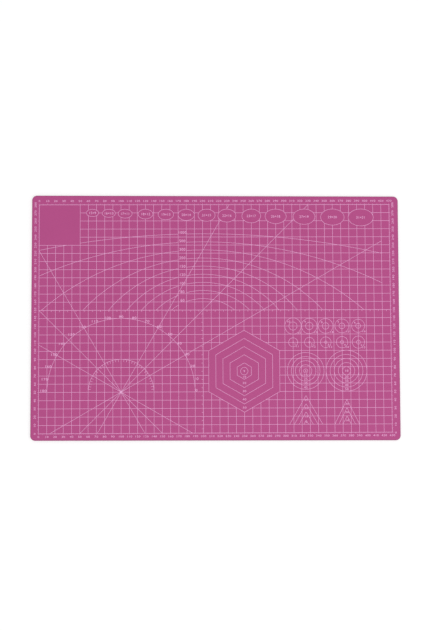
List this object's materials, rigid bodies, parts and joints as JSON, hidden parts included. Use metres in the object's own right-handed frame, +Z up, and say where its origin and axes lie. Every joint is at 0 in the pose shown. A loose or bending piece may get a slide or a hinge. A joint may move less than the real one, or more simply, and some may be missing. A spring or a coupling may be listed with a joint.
{
  "type": "cutting mat",
  "caption": "Flat self-healing cutting mat of bonded PVC sheets, magenta, with a white printed grid, arcs, protractor, circles, hexagons and ovals for measuring and cutting.",
  "frame": {"origin": "middle of the underside, where the mat lies on a table", "axes": "+X along the mat's length, to the right of the reader; +Y across it, away from the reader; +Z up, out of the printed face"},
  "size_m": [0.45, 0.3, 0.0031],
  "materials": {
    "face_pvc": "fine matt grain",
    "cushion_pvc": "cut edge of soft PVC",
    "core_pvc": "cut edge of pale stiff PVC",
    "white_ink": "screen-printed, slightly see-through"
  },
  "bodies": {
    "root": {"bottom_face_sheet": "face_pvc", "lower_cushion_sheet": "cushion_pvc", "core_sheet": "core_pvc", "upper_cushion_sheet": "cushion_pvc", "top_face_sheet": "face_pvc", "hexagon_templates": "white_ink", "grid_lines_lengthwise": "white_ink", "grid_lines_crosswise": "white_ink", "triangle_templates": "white_ink", "round_templates": "white_ink", "protractors": "white_ink", "radius_arcs": "white_ink", "angle_rays": "white_ink"}
  },
  "joints": []
}
